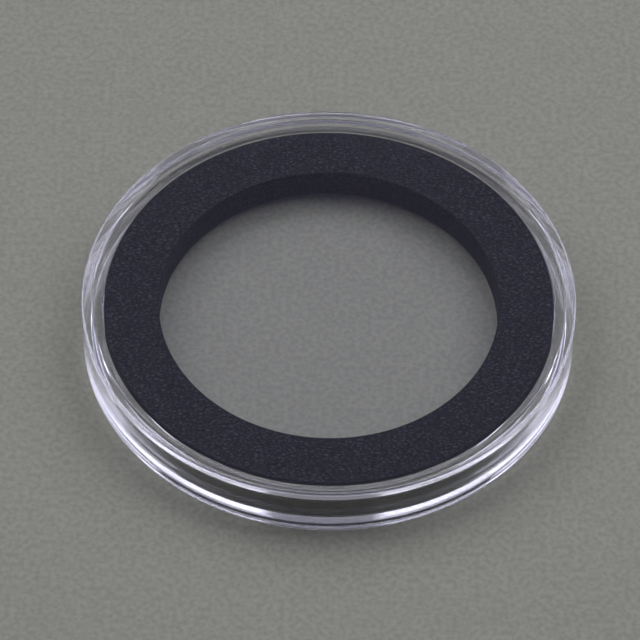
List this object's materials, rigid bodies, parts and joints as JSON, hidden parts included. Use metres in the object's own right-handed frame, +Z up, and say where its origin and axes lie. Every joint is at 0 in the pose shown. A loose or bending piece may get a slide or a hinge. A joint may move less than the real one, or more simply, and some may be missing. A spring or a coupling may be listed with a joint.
{
  "type": "coin capsule",
  "caption": "Round clear plastic coin capsule, empty: a lid presses onto a base over a black foam ring that grips a coin by its edge.",
  "frame": {"origin": "centre of the foot rim, on the surface that the closed capsule stands on", "axes": "+Z up along the axis of revolution, from base to lid; -Y is the side that faces the viewer"},
  "size_m": [0.0552, 0.0552, 0.0066],
  "materials": {
    "clear_acrylic": "clear and polished, with fine handling marks",
    "black_foam": "matte closed-cell foam with a fine leather-grained skin"
  },
  "bodies": {
    "base": {"bottom_shell": "clear_acrylic"},
    "lid": {"top_shell": "clear_acrylic"},
    "insert": {"foam_ring": "black_foam"}
  },
  "joints": [
    {"name": "lid_lift", "type": "slide", "parent": "base", "child": "lid", "axis": [0, 0, 1], "range_m": [0, 0.03]},
    {"name": "ring_lift", "type": "slide", "parent": "base", "child": "insert", "axis": [0, 0, 1], "range_m": [0, 0.012]}
  ],
  "couplings": [
    {"joint": "ring_lift", "follows": "lid_lift", "ratio": 0.4}
  ]
}
